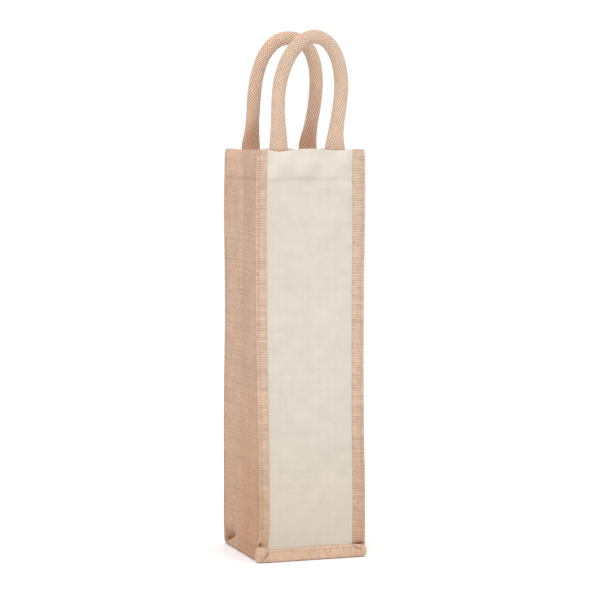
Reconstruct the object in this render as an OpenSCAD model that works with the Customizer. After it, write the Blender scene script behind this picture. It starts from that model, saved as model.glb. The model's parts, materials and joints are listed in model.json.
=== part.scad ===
// Single-bottle gift bag: a square jute bag with a canvas window front and back,
// a turned-in hem, folded borders and two padded loop handles that swing on the hem.
// Millimetres. The origin is the centre of the underside, +Z is up, the front is -Y.

/* [Bag] */
// Width of the bag, left to right
bag_w = 98; // [98:1:140]
// Depth of the bag, front to back
bag_d = 98; // [90:1:140]
// Height of the bag, without the handles
bag_h = 360; // [300:5:420]
// Outer radius of the two bends where the side cloth turns under the base
base_bend_r = 3; // [2:0.5:6]

/* [Cloth] */
// Thickness of the jute cloth
jute_t = 1.2; // [1:0.1:1.3]
// Thickness of the canvas
canvas_t = 0.8; // [0.7:0.1:1]
// How far the canvas lies behind the face of the jute borders
canvas_recess = 0.6; // [0.5:0.1:0.8]
// Width of the jute border on the left of each canvas, seen from outside
left_border_w = 8; // [7:1:9]
// Width of the jute border on the right of each canvas, seen from outside
right_border_w = 10; // [9:1:14]

/* [Hem] */
// Depth of the top hem that is turned to the inside
hem_h = 27; // [20:1:40]
// Height of the hem's stitch line above the hem's inner edge
hem_stitch_up = 2; // [1:0.5:5]

/* [Bottom border] */
// Height of the folded strip along the bottom of the front and the back
rim_h = 11.5; // [8:0.5:20]
// Thickness of that strip, two layers of jute
rim_t = 2; // [1.6:0.1:3]
// Radius of the rounded fold at each end of the strip
corner_fold_r = 3; // [2:0.5:4]

/* [Handles] */
// Diameter of the padded handle
handle_d = 12.2; // [9:0.2:14]
// Thickness of the handle's woven sleeve
sleeve_t = 1.6; // [1:0.1:2]
// Distance between the two feet of a handle, centre to centre, front and back
front_leg_gap = 51.8; // [48:0.2:55]
back_leg_gap = 54.4; // [48:0.2:55]
// Widest distance between the legs of a handle, centre to centre, front and back
front_loop_w = 57.2; // [56:0.2:62]
back_loop_w = 58.6; // [56:0.2:62]
// Height of a handle's outer top above the hem, front and back
front_loop_h = 104; // [80:0.5:130]
back_loop_h = 106.5; // [80:0.5:130]
// Where the middle of each handle's feet lies, left (-) or right (+) of the middle
front_foot_x = -2.7; // [-5:0.1:2]
back_foot_x = 1.5; // [-2:0.1:5]
// How far each handle's top leans to the right of its feet
front_sway = 7.4; // [0:0.2:10]
back_sway = 10; // [0:0.2:10]
// Where each handle leans most: below 1 near its feet, above 1 near its top
front_lean = 1.3; // [0.8:0.1:1.5]
back_lean = 0.8; // [0.8:0.1:1.5]
// Shape of each handle's arch: 1 is half an ellipse, less is squarer
front_arch = 1; // [0.8:0.01:1]
back_arch = 0.87; // [0.8:0.01:1]
// Width and thickness of a handle's flattened foot
foot_w = 17; // [13:0.5:17.5]
foot_t = 2.6; // [2:0.1:3]
// Height over which a flattened foot rounds out to the full handle
flare_h = 27; // [20:1:30]

/* [Stitches] */
// Length of one stitch
stitch_len = 4; // [2:0.5:5]
// Distance from one stitch to the next
stitch_pitch = 6; // [5.5:0.5:10]
// Width of the sewing thread
thread_w = 0.7; // [0.4:0.1:1]
// How far a stitch stands above the cloth
thread_h = 0.4; // [0.2:0.1:0.5]

/* [Hidden] */

jute = [0.82, 0.69, 0.58];
jute_light = [0.87, 0.75, 0.64];
canvas_white = [0.89, 0.86, 0.81];
rope = [0.93, 0.91, 0.86];
thread = [0.90, 0.82, 0.72];

arc_fn = 48;
gap = 0.4;                      // air between the two leaves of the hem
turn_in = 5;                    // width of canvas behind each border
turn_in_drop = 2;               // that canvas is cut short below the hem
face_y = -bag_d / 2;            // outer face of the front
inner_y = face_y + jute_t;      // inside of the front borders
canvas_y = face_y + canvas_recess;
facing_y = inner_y + canvas_t + gap;            // outer side of the hem's inner leaf
hem_bottom = bag_h - hem_h;
jute_fold_w = facing_y + jute_t - face_y;       // overall depth of a turned-over jute hem
canvas_left = -bag_w / 2 + left_border_w;
canvas_right = bag_w / 2 - right_border_w;
side_facing_x = bag_w / 2 - (facing_y - face_y) - jute_t;  // inside of the side hems
hem_stitch_z = hem_bottom + hem_stitch_up;

tab_y = facing_y + canvas_t;    // the handle tabs are sewn to the inside of the hem
tab_drop = 2;                   // a tab reaches this far below the hem
tab_top = bag_h - 0.4;
leg_y = tab_y + foot_t / 2;
hinge_z = bag_h + 1.6;          // the handle's bare foot bends over the hem here

leg_h = 47;                     // straight part of a leg
lean_from = 12;                 // a handle stands straight up for about this height
leg_rings = 9;
arch_rings = 24;
ring_sides = 16;
sleeve_bore_from = 8;           // height at which the flat foot opens into a tube
core_from = 22;                 // height at which the rope filling starts
core_play = 0.1;

// ---------------------------------------------------------------- sewn cloth

// A leaf of cloth whose top is turned over to the inside, seen from the side:
// outer leaf, round fold and inner leaf. y0 is the outer face, z0 the lower edge.
module hem_profile(y0, z0, t, fold_w) {
    r = fold_w / 2;
    translate([y0, z0])
        square([t, bag_h - r - z0]);
    translate([y0 + fold_w - t, hem_bottom])
        square([t, hem_h - r]);
    translate([y0 + r, bag_h - r])
        intersection() {
            difference() {
                circle(r, $fn = arc_fn);
                circle(r - t, $fn = arc_fn);
            }
            translate([-r, 0])
                square([fold_w, r]);
        }
}

// Extrudes a side profile along X, from x0 to x1
module along_x(x0, x1) {
    translate([x0, 0, 0])
        rotate([90, 0, 90])
            linear_extrude(height = x1 - x0)
                children();
}

module canvas_panel() {
    color(canvas_white) {
        along_x(canvas_left, canvas_right)
            hem_profile(canvas_y, jute_t, canvas_t, facing_y + canvas_t - canvas_y);
        translate([canvas_left - turn_in, inner_y, jute_t])
            cube([canvas_right - canvas_left + 2 * turn_in, canvas_t,
                  hem_bottom - turn_in_drop - jute_t]);
    }
}

// A jute border from the corner seam at x_out to the canvas at x_in.
// Only the part clear of the side hem is turned in.
module side_border(x_out, x_in) {
    x_turn = sign(x_out) * side_facing_x;
    color(jute) {
        along_x(min(x_turn, x_in), max(x_turn, x_in))
            hem_profile(face_y, 0, jute_t, jute_fold_w);
        translate([min(x_turn, x_out), face_y, 0])
            cube([abs(x_out - x_turn), jute_t, bag_h - jute_fold_w / 2]);
    }
}

// The folded strip along the bottom, with a rounded fold round each corner
module bottom_border() {
    color(jute_light)
        difference() {
            union() {
                along_x(-bag_w / 2, bag_w / 2)
                    translate([face_y - rim_t / 2, 0]) {
                        for (z = [rim_t / 2, rim_h - rim_t / 2])
                            translate([0, z])
                                circle(rim_t / 2, $fn = arc_fn);
                        translate([-rim_t / 2, rim_t / 2])
                            square([rim_t, rim_h - rim_t]);
                    }
                for (side = [-1, 1])
                    translate([side * (bag_w / 2 + rim_t - corner_fold_r),
                               face_y - rim_t + corner_fold_r, 0])
                        cylinder(h = rim_h, r = corner_fold_r, $fn = arc_fn);
            }
            translate([-bag_w / 2, face_y, -1])
                cube([bag_w, bag_d, rim_h + 2]);
        }
}

// One half of the strip that runs down a side and under the base, seen from the front
module side_profile() {
    r = base_bend_r;
    translate([-bag_w / 2, 0]) {
        hem_profile(0, r, jute_t, jute_fold_w);
        translate([r, 0])
            square([bag_w / 2 - r, jute_t]);
        translate([r, r])
            intersection() {
                difference() {
                    circle(r, $fn = arc_fn);
                    circle(r - jute_t, $fn = arc_fn);
                }
                translate([-r, -r])
                    square(r);
            }
    }
}

module gusset_and_base() {
    strip_w = bag_d - 2 * jute_t;
    color(jute)
        translate([0, strip_w / 2, 0])
            rotate([90, 0, 0])
                linear_extrude(height = strip_w)
                    for (side = [0, 1])
                        mirror([side, 0])
                            side_profile();
}

// ---------------------------------------------------------------- handles

// Height of the handle's centre line between its foot and the top of its arch
function line_h(loop_h) = loop_h - (hinge_z - bag_h) - handle_d / 2;

// A handle's shape: distance between its feet, widest distance between its legs, height
// of its centre line, lean of its top to the right, where it leans, and shape of its arch
front_loop = [front_leg_gap, front_loop_w, line_h(front_loop_h), front_sway, front_lean, front_arch];
back_loop = [back_leg_gap, back_loop_w, line_h(back_loop_h), -back_sway, back_lean, back_arch];

// A point [x, z] of a leg's centre line at a share u of its height, for the right leg
function leg_at(u, loop) =
    [(loop[0] + (loop[1] - loop[0]) * pow(sin(90 * u), 2)) / 2, leg_h * u];

// A point [x, z] of a handle's centre line, measured from the middle of its feet.
// u runs from 0 at the left foot to 3 at the right foot; 1 to 2 is the arch.
function loop_at(u, loop) =
    let(angle = 180 * (u - 1))
    u < 1 ? [-leg_at(u, loop)[0], leg_at(u, loop)[1]] :
    u > 2 ? leg_at(3 - u, loop) :
    [-loop[1] / 2 * sign(cos(angle)) * pow(abs(cos(angle)), loop[5]),
     leg_h + (loop[2] - leg_h) * pow(max(sin(angle), 0), loop[5])];

// How far the handle has leant to the right at height h
function lean_at(h, loop) =
    loop[3] * pow(max(h, 0) / loop[2], loop[4]) * (1 - exp(-max(h, 0) / lean_from));

function centre_at(u, loop) =
    let(p = loop_at(u, loop))
    [p[0] + lean_at(p[1], loop), p[1]];

function heading(u, loop) =
    let(step = 0.01)
    let(d = centre_at(min(u + step, 3), loop) - centre_at(max(u - step, 0), loop))
    d / norm(d);

// 0 at the flattened foot, 1 where the handle is round
function roundness(h) = let(k = min(max(h / flare_h, 0), 1)) k * k * (3 - 2 * k);

function half_width(h) = (foot_w + (handle_d - foot_w) * roundness(h)) / 2;
function half_depth(h) = (foot_t + (handle_d - foot_t) * roundness(h)) / 2;

// Ring positions between two heights on the legs
function stations(from_h) =
    let(u0 = from_h / leg_h)
    concat([for (i = [0:leg_rings - 1]) u0 + (1 - u0) * i / leg_rings],
           [for (i = [0:arch_rings]) 1 + i / arch_rings],
           [for (i = [1:leg_rings]) 2 + (1 - u0) * i / leg_rings]);

// One ring of the sweep, set in by inset from the sleeve's outside
function ring(u, inset, loop) =
    let(c = centre_at(u, loop))
    let(t = heading(u, loop))
    let(h = u < 1 || u > 2 ? c[1] : leg_h)
    let(a = half_width(h) - inset)
    let(b = max(half_depth(h) - inset, 0.3))
    [for (i = [0:ring_sides - 1])
        let(phi = 360 * i / ring_sides)
        [c[0] + t[1] * a * cos(phi), b * sin(phi), c[1] - t[0] * a * cos(phi)]];

module loop_solid(from_h, inset, loop) {
    rings = [for (u = stations(from_h)) ring(u, inset, loop)];
    n = len(rings);
    polyhedron(
        points = [for (r = rings) for (p = r) p],
        faces = concat(
            [[for (i = [0:ring_sides - 1]) i]],
            [[for (i = [ring_sides - 1:-1:0]) (n - 1) * ring_sides + i]],
            [for (k = [0:n - 2])
                for (i = [0:ring_sides - 1])
                    let(j = (i + 1) % ring_sides)
                    [k * ring_sides + i, (k + 1) * ring_sides + i,
                     (k + 1) * ring_sides + j, k * ring_sides + j]]));
}

module handle_sleeve(foot_x, loop) {
    color(jute_light)
        translate([foot_x, leg_y, hinge_z])
            difference() {
                loop_solid(0, 0, loop);
                loop_solid(sleeve_bore_from, sleeve_t, loop);
            }
}

module handle_core(foot_x, loop) {
    color(rope)
        translate([foot_x, leg_y, hinge_z])
            loop_solid(core_from, sleeve_t + core_play, loop);
}

// The flattened end of a handle, sewn to the inside of the hem
module handle_tab(x) {
    color(jute_light)
        translate([x - foot_w / 2, tab_y, hem_bottom - tab_drop])
            cube([foot_w, foot_t, tab_top - hem_bottom + tab_drop]);
}

// ---------------------------------------------------------------- stitches

// A row of stitches on a front face at depth y: count stitches from [x, z] along X or Z
module stitch_row(x, z, y, count, upright = false) {
    for (i = [0:count - 1])
        translate([x + (upright ? -thread_w / 2 : i * stitch_pitch), y - thread_h,
                   z + (upright ? i * stitch_pitch : -thread_w / 2)])
            cube([upright ? thread_w : stitch_len, thread_h, upright ? stitch_len : thread_w]);
}

function stitches_in(length) = floor((length - stitch_len) / stitch_pitch) + 1;

// Stitches centred between x0 and x1
module centred_row(x0, x1, z, y) {
    count = stitches_in(x1 - x0);
    used = (count - 1) * stitch_pitch + stitch_len;
    stitch_row((x0 + x1 - used) / 2, z, y, count);
}

// The hem's stitch line across the front (or, turned round, the back)
module panel_hem_row() {
    centred_row(-bag_w / 2 + 2, canvas_left - 2, hem_stitch_z, face_y);
    centred_row(canvas_left + 1, canvas_right - 1, hem_stitch_z, canvas_y);
    centred_row(canvas_right + 2, bag_w / 2 - 2, hem_stitch_z, face_y);
}

// The hem's stitch line across a side
module side_hem_row() {
    centred_row(-bag_d / 2 + 3, bag_d / 2 - 3, hem_stitch_z, -bag_w / 2);
}

module hem_stitching() {
    color(thread) {
        for (turn = [0, 180])
            rotate([0, 0, turn])
                panel_hem_row();
        for (turn = [90, 270])
            rotate([0, 0, turn])
                side_hem_row();
    }
}

// An upright row from above the bottom border to just under the hem's fold
module upright_row(x, y) {
    z0 = rim_h + 3;
    stitch_row(x, z0, y, stitches_in(bag_h - 4 - z0), upright = true);
}

// The two rows that hold the borders down over the canvas
module border_stitching() {
    color(thread)
        for (x = [canvas_left - 1.5, canvas_right + 1.5])
            upright_row(x, face_y);
}

// The row that keeps a corner seam sharp
module corner_stitching(side) {
    color(thread)
        upright_row(side * (bag_w / 2 - 1.6), face_y);
}

module bottom_stitching() {
    color(thread)
        centred_row(-bag_w / 2 + 2, bag_w / 2 - 2, rim_h - 2.5, face_y - rim_t);
}

// Close rows of stitches through the canvas and the handle's tab
module handle_tack(x) {
    rows = 3;
    row_gap = 1.4;
    color(thread)
        for (i = [1:rows])
            centred_row(x - foot_w / 2, x + foot_w / 2, hem_stitch_z + i * row_gap, canvas_y);
}

// ---------------------------------------------------------------- assembly

module to_back() {
    rotate([0, 0, 180])
        children();
}

module front_canvas() canvas_panel();
module front_left_border() side_border(-bag_w / 2, canvas_left);
module front_right_border() side_border(bag_w / 2, canvas_right);
module front_bottom_border() bottom_border();
module back_canvas() to_back() canvas_panel();
module back_left_border() to_back() side_border(bag_w / 2, canvas_right);
module back_right_border() to_back() side_border(-bag_w / 2, canvas_left);
module back_bottom_border() to_back() bottom_border();

module front_handle_left_tab() handle_tab(front_foot_x - front_leg_gap / 2);
module front_handle_right_tab() handle_tab(front_foot_x + front_leg_gap / 2);
module back_handle_left_tab() to_back() handle_tab(-back_foot_x + back_leg_gap / 2);
module back_handle_right_tab() to_back() handle_tab(-back_foot_x - back_leg_gap / 2);
module front_handle_sleeve() handle_sleeve(front_foot_x, front_loop);
module front_handle_core() handle_core(front_foot_x, front_loop);
module back_handle_sleeve() to_back() handle_sleeve(-back_foot_x, back_loop);
module back_handle_core() to_back() handle_core(-back_foot_x, back_loop);

module front_border_stitching() border_stitching();
module back_border_stitching() to_back() border_stitching();
module front_left_corner_stitching() corner_stitching(-1);
module front_right_corner_stitching() corner_stitching(1);
module back_left_corner_stitching() to_back() corner_stitching(1);
module back_right_corner_stitching() to_back() corner_stitching(-1);
module front_bottom_stitching() bottom_stitching();
module back_bottom_stitching() to_back() bottom_stitching();
module front_handle_left_tack() handle_tack(front_foot_x - front_leg_gap / 2);
module front_handle_right_tack() handle_tack(front_foot_x + front_leg_gap / 2);
module back_handle_left_tack() to_back() handle_tack(-back_foot_x + back_leg_gap / 2);
module back_handle_right_tack() to_back() handle_tack(-back_foot_x - back_leg_gap / 2);

gusset_and_base();
front_canvas();
front_left_border();
front_right_border();
front_bottom_border();
back_canvas();
back_left_border();
back_right_border();
back_bottom_border();
front_handle_left_tab();
front_handle_right_tab();
back_handle_left_tab();
back_handle_right_tab();
front_handle_sleeve();
front_handle_core();
back_handle_sleeve();
back_handle_core();
hem_stitching();
front_border_stitching();
back_border_stitching();
front_left_corner_stitching();
front_right_corner_stitching();
back_left_corner_stitching();
back_right_corner_stitching();
front_bottom_stitching();
back_bottom_stitching();
front_handle_left_tack();
front_handle_right_tack();
back_handle_left_tack();
back_handle_right_tack();
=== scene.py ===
"""The looks of a jute wine gift bag: sewn cloth, thread and two braided rope handles.

Lengths are millimetres until a mesh is made, which is in metres. A face is shaped as the front
one, at -Y, and turned half round for the back. "Depth" is measured into the bag from a face.
"""
import json
import math

import bpy
import numpy as np
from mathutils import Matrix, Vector


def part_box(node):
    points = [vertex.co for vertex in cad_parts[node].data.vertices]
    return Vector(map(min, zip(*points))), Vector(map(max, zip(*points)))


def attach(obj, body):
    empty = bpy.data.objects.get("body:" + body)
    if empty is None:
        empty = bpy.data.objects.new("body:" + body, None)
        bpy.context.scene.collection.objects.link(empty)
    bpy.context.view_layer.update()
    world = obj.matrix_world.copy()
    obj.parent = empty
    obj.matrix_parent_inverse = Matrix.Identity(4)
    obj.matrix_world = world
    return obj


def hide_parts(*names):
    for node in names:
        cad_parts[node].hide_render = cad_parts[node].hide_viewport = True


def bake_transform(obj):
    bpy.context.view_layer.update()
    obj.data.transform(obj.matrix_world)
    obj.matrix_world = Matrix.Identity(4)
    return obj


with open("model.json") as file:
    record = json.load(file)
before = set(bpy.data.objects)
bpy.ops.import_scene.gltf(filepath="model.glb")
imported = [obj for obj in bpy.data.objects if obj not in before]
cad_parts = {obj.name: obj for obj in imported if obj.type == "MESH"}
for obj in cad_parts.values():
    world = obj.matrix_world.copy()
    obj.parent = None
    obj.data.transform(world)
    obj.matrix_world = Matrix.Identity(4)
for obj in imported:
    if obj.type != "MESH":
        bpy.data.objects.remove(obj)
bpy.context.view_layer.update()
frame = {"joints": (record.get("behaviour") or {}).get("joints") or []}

MM = 0.001


def box_mm(node):
    """Lowest and highest corner of a CAD node, in millimetres."""
    low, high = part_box(node)
    return np.array(low) / MM, np.array(high) / MM


def middle_x(node):
    low, high = box_mm(node)
    return (low[0] + high[0]) / 2


# --- sizes from the frame
GUSSET_HIGH = box_mm("gusset_and_base")[1]
CANVAS_LOW, CANVAS_HIGH = box_mm("front_canvas")
TAB_LOW, TAB_HIGH = box_mm("front_handle_left_tab")
RIM_LOW, RIM_HIGH = box_mm("front_bottom_border")
HALF_W = GUSSET_HIGH[0]
HALF_D = -box_mm("front_left_border")[0][1]
BAG_H = GUSSET_HIGH[2]
WINDOW_LEFT = box_mm("front_left_border")[1][0]
WINDOW_RIGHT = box_mm("front_right_border")[0][0]
CANVAS_LEFT = CANVAS_LOW[0]
CANVAS_RIGHT = CANVAS_HIGH[0]
CANVAS_DEPTH = CANVAS_LOW[1] + HALF_D
CANVAS_INSIDE = TAB_LOW[1] + HALF_D
RIM_H = RIM_HIGH[2]
RIM_PROUD = -HALF_D - RIM_LOW[1]
STITCH_Z = box_mm("hem_stitching")[0][2] + 0.35
TAB_BOTTOM = TAB_LOW[2]
TAB_W = TAB_HIGH[0] - TAB_LOW[0]
LEG_Y = TAB_LOW[1] + 1.3  # middle of a handle's thickness
HINGE_Z = frame["joints"][0]["pos_m"][2] / MM

# Middles of a handle's feet, as seen from the outside of its own face
FEET = {
    "front": (middle_x("front_handle_left_tab"), middle_x("front_handle_right_tab")),
    "back": (-middle_x("back_handle_right_tab"), -middle_x("back_handle_left_tab")),
}

# --- sizes of the cloth
HEM_BOTTOM = TAB_BOTTOM + 2  # the hem's inner edge
JUTE_T = 1.1  # thickness of one layer of jute
BORDER_T = 0.75  # the same, pressed flat where it is folded double
EDGE_T = 0.5  # and where it is pinched to an edge
EDGE_FROM = 47.6  # distance from the middle of a face to that edge
CANVAS_T = 0.8
JUTE_FOLD = 3.6  # overall depth of the turned-over jute hem
BASE_BEND = 1.7  # radius of the bend between side and base
RIM_T = 0.8  # thickness of the bottom strip's cloth
RIM_CORNER = 3.0  # radius of that strip round a corner
# The pinched corner seam in plan: distance from the middle of the face, and how proud it is
RIDGE = [(44.5, 0), (45.6, -0.12), (46.5, -0.75), (47.2, -0.7), (47.9, -0.05),
         (48.5, 0.2), (49.0, 0.2), (49.2, 0.0)]
RIDGE_FROM = 44.5  # distance from the middle of a face to that ridge
GROOVE = 46.9  # and to the groove in it
PINCHED_REACH = 50.1  # how far cloth reaches before it is drawn in at a corner
# Heights at which the ridges of the corners end, seen from each face's outside
RIDGE_BOTTOM = {
    ("front", "left"): 15.0, ("front", "right"): 9.0,
    ("back", "left"): 2.0, ("back", "right"): 2.0,
}
# How far each corner seam bows outwards at these heights, seen from its face's outside
BOW_HEIGHTS = [0, 13, 27, 60, 130, 220, 300, 345, 360]
BOWS = {
    ("front", "left"): [0, 0, -1.5, -1.6, -0.5, 1.2, 1.5, 0.6, 0.2],
    ("front", "right"): [0.3, 0.8, 0.9, 0.8, -0.5, -0.8, 0.1, 0.2, 0],
    ("back", "left"): [0, 0, 0.5, -0.6, -0.8, 0.4, 0.6, 0, -0.3],
    ("back", "right"): [0.4, 0.9, 1.2, 1.0, 0.8, -0.5, 0.1, -0.5, -0.9],
}

# --- sizes of thread and handles
STITCH = 4.0  # length of one stitch
STITCH_PITCH = 6.0
THREAD = 0.34  # radius of the sewing thread
STRANDS = 15  # strands of the handle's braid each way
DIAMOND = 3.1  # length of one diamond of the braid
HANDLE_R = 6.1
SLEEVE_HALF_T = 1.2  # half the thickness of a sleeve where it is sewn flat
LEG_H = 47.0  # straight part of a handle's leg above the hinge
# Distance between the feet, widest distance between the legs, height of the top's outside,
# lean to the right of its own face, where it leans, shape of the arch, and how much each
# foot flares
LOOPS = {
    "front": dict(gap=51.8, wide=57.2, high=104, sway=7.4, lean=1.3, arch=1.0, flares=(0.3, 1.2)),
    "back": dict(gap=54.4, wide=58.6, high=106.5, sway=-10, lean=0.8, arch=0.87, flares=(0.4, 0.4)),
}


# --- camera and stage
def make_camera():
    """The photograph's view: from the front left, a little above the mouth."""
    data = bpy.data.cameras.new("camera")
    data.lens = 131.8
    data.sensor_width = 36
    camera = bpy.data.objects.new("camera", data)
    camera.location = (-0.626, -1.856, 0.374)
    camera.rotation_euler = (math.radians(90 - 4.33), 0, math.radians(-18.81))
    bpy.context.scene.collection.objects.link(camera)
    bpy.context.scene.camera = camera


def make_light(name, place, target, size, power):
    """A soft round light that looks at a target."""
    data = bpy.data.lights.new(name, "AREA")
    data.shape = "DISK"
    data.size = size
    data.energy = power
    light = bpy.data.objects.new(name, data)
    light.location = place
    aim = np.array(target) - np.array(place)
    light.rotation_euler = Vector(aim).to_track_quat("-Z", "Y").to_euler()
    bpy.context.scene.collection.objects.link(light)


def make_stage():
    """A white studio: even light from all round, two soft lights and a pale floor."""
    world = bpy.data.worlds.new("studio")
    world.use_nodes = True
    background = world.node_tree.nodes["Background"]
    background.inputs["Color"].default_value = (1, 1, 1, 1)
    background.inputs["Strength"].default_value = 1.03
    bpy.context.scene.world = world
    bpy.context.scene.view_settings.view_transform = "Standard"
    bpy.ops.mesh.primitive_plane_add(size=12, location=(0, 0, -0.0004))
    floor = bpy.context.object
    floor.name = "floor"
    graph = Graph("pale_floor")
    tone = graph.noise(graph.add("ShaderNodeTexCoord").outputs["Object"], 3.0)
    colour = graph.mix(tone, (254, 254, 255), (250, 252, 255))
    graph.finish(colour, roughness=0.6)
    floor.data.materials.append(graph.material)
    make_light("key_light", (-1.4, -2.4, 2.2), (0, 0, 0.25), 1.1, 25)
    make_light("top_light", (0.2, -0.5, 2.6), (0, 0, 0.2), 1.8, 18)


# --- materials
def linear(levels):
    """A colour from 0-255 levels, in the linear values that the shader wants."""
    return tuple(((c / 255 + 0.055) / 1.055) ** 2.4 for c in levels) + (1,)


# Painted shade: the dark reddish brown that cloth is darkened towards in creases, folds, dents,
# grooves and along stitch lines.
CREASE_SHADE_COLOUR = (124, 64, 36)


def sum_of(operation):
    """An operator that adds a math node to the graph of its first value."""
    return lambda *values: values[0].graph.math(operation, *values)


class Value:
    """A number in a material's graph, with which sums are written as usual."""

    def __init__(self, graph, socket):
        self.graph = graph
        self.socket = socket

    __add__ = sum_of("ADD")
    __sub__ = sum_of("SUBTRACT")
    __mul__ = sum_of("MULTIPLY")
    __truediv__ = sum_of("DIVIDE")
    __abs__ = sum_of("ABSOLUTE")
    __floor__ = sum_of("FLOOR")


class Graph:
    """Short calls for the nodes of one material."""

    def __init__(self, name):
        self.material = bpy.data.materials.new(name)
        self.material.use_nodes = True
        self.tree = self.material.node_tree
        self.shader = self.tree.nodes["Principled BSDF"]

    def add(self, kind, inputs=(), **settings):
        node = self.tree.nodes.new(kind)
        for key, value in settings.items():
            setattr(node, key, value)
        for key, value in dict(inputs).items():
            self.put(node.inputs[key], value)
        return node

    def put(self, socket, value):
        """Links or sets an input. A tuple is a colour in 0-255 levels."""
        if isinstance(value, Value):
            value = value.socket
        if isinstance(value, tuple):
            value = linear(value)
        if isinstance(value, bpy.types.NodeSocket):
            self.tree.links.new(value, socket)
        else:
            socket.default_value = value

    def number(self, kind, inputs, output=0, **settings):
        """One number from a new node."""
        return Value(self, self.add(kind, inputs, **settings).outputs[output])

    def math(self, operation, *values):
        return self.number("ShaderNodeMath", enumerate(values), operation=operation)

    def between(self, a, b, share):
        """a where share is 0, b where it is 1."""
        return (b - a) * share + a

    def wave(self, value):
        return self.math("SINE", value * math.pi)

    def rest(self, share):
        """What a share leaves of 1."""
        return self.math("SUBTRACT", 1.0, share)

    def mix(self, factor, a, b, blend="MIX"):
        node = self.add("ShaderNodeMix", data_type="RGBA", blend_type=blend)
        for index, value in ((0, factor), (6, a), (7, b)):
            self.put(node.inputs[index], value)
        return node.outputs[2]

    def noise(self, vector, scale, detail=2.0):
        inputs = {"Vector": vector, "Scale": scale, "Detail": detail}
        return self.number("ShaderNodeTexNoise", inputs, "Fac")

    def random(self, value):
        """A steady random number for each whole number."""
        return self.number("ShaderNodeTexWhiteNoise", {"W": value}, "Value", noise_dimensions="1D")

    def vector(self, *values):
        return self.add("ShaderNodeCombineXYZ", enumerate(values)).outputs[0]

    def split(self, name):
        """The three numbers of a mesh attribute."""
        source = self.add("ShaderNodeAttribute", attribute_name=name).outputs["Vector"]
        node = self.add("ShaderNodeSeparateXYZ", {0: source})
        return [Value(self, output) for output in node.outputs]

    def ramp(self, value, low, high):
        inputs = {"Value": value, "From Min": low, "From Max": high}
        return self.number("ShaderNodeMapRange", inputs, interpolation_type="SMOOTHSTEP")

    def shaded(self, colour, shade):
        """A colour made lighter or darker by a number."""
        return self.mix(1.0, colour, self.vector(shade, shade, shade), "MULTIPLY")

    def finish(self, colour, roughness, height=None, relief=0.0, sheen=0.0):
        self.put(self.shader.inputs["Base Color"], colour)
        self.put(self.shader.inputs["Roughness"], roughness)
        self.shader.inputs["Specular IOR Level"].default_value = 0.2
        if sheen:
            self.shader.inputs["Sheen Weight"].default_value = sheen
            self.shader.inputs["Sheen Roughness"].default_value = 0.5
        if height is not None:
            bump = self.add("ShaderNodeBump", {"Height": height, "Distance": relief * MM})
            self.put(self.shader.inputs["Normal"], bump.outputs[0])


def cloth_shade(tone, middle, strength, light):
    """How light the cloth is, from its own uneven tone and the painted light and shade that the
    mesh carries.
    """
    return ((tone - middle) * strength + 1.0) * (light * 0.1 + 1.0)


def plain_weave(g, across, along, offset, place, pitch, uneven, rib):
    """Threads over and under each other: their counts both ways, how far the warp lies on top,
    and the height."""
    bow = (g.noise(place, 0.11) - 0.5) * (uneven * 6)
    spacing = g.noise(g.vector(offset, along * 0.45, 0), 1.0, 1.0)
    u = (across + bow) / pitch[0]
    v = (along + bow + (spacing - 0.5) * (uneven * 5)) / pitch[1]
    wave_u, wave_v = g.wave(u), g.wave(v)
    ridge_u, ridge_v = abs(wave_u), abs(wave_v)
    over = g.ramp(wave_u * wave_v, -0.4, 0.4)
    warp = ridge_u * (ridge_v * 0.5 + 0.4)
    weft = ridge_v * (ridge_u * 0.25 + 0.75)
    height = g.between(weft, warp, over * 0.75)
    return u, v, over, g.between(height, ridge_v, rib)


def thread_tone(g, across, along, offset, place, u, v, on_top):
    """Each thread has a tone of its own and slubs along it, and the cloth has soft patches."""
    row = math.floor(v) + offset
    column = math.floor(u) + offset

    def slubs(run, thread):
        return g.noise(g.vector(run * 0.09, thread * 3.7, offset), 1.0, 3.0)

    slub = g.between(slubs(across, row), slubs(along, column), on_top)
    own = g.between(g.random(row), g.random(column), on_top)
    patches = g.noise(place, 0.035, 3.0) * 0.7 + g.noise(place, 0.24) * 0.8
    return own * 0.6 + slub + patches, slub


def woven(name, colour, gap_colour, pitch, relief, uneven, streaks, warm_tone_and_shade_colour, sheen=0.15,
          rib=0.0, patch=0.07, warp_share=1.0):
    """Plain-woven cloth. The mesh attribute "cloth" gives the place on the cloth in millimetres
    and the piece's own number; the other attribute gives painted shade in creases, a warmer
    tone that is mostly painted shade towards the base, and painted light and shade.

    pitch is the spacing of warp and weft and relief the weave's depth, in millimetres. uneven
    is how unevenly the threads lie, streaks how much their tones differ, rib how far the weft
    hides the warp, patch how often the weave turns looser, per millimetre, and warp_share how
    much the warp's own tone shows where it is on top.
    """
    g = Graph(name)
    across, along, piece = g.split("cloth")
    painted_crease_shade, warm_tone_and_shade, light = g.split("tone_and_painted_shading")
    offset = piece * 7.3
    place = g.vector(across, along, offset)
    u, v, over, height = plain_weave(g, across, along, offset, place, pitch, uneven, rib)
    tone, slub = thread_tone(g, across, along, offset, place, u, v, over * warp_share)
    height = height * (slub * 0.7 + 0.65)
    # The gaps between threads show more in some places than in others
    loose = g.ramp(g.noise(place, patch, 1.0), 0.3, 0.7)
    gap = g.rest(g.ramp(height, 0.05, 0.62)) * (loose * 0.8 + 0.2)
    # The warmer tone, mostly painted shade towards the base, then the painted light and shade, then
    # the painted crease shade.
    face = g.mix(gap, g.mix(warm_tone_and_shade, colour, warm_tone_and_shade_colour), gap_colour)
    face = g.shaded(face, cloth_shade(tone, 1.55, streaks, light))
    face = g.mix(painted_crease_shade, face, CREASE_SHADE_COLOUR)
    g.finish(face, height * -0.12 + 0.95, height, relief, sheen)
    return g.material


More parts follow.
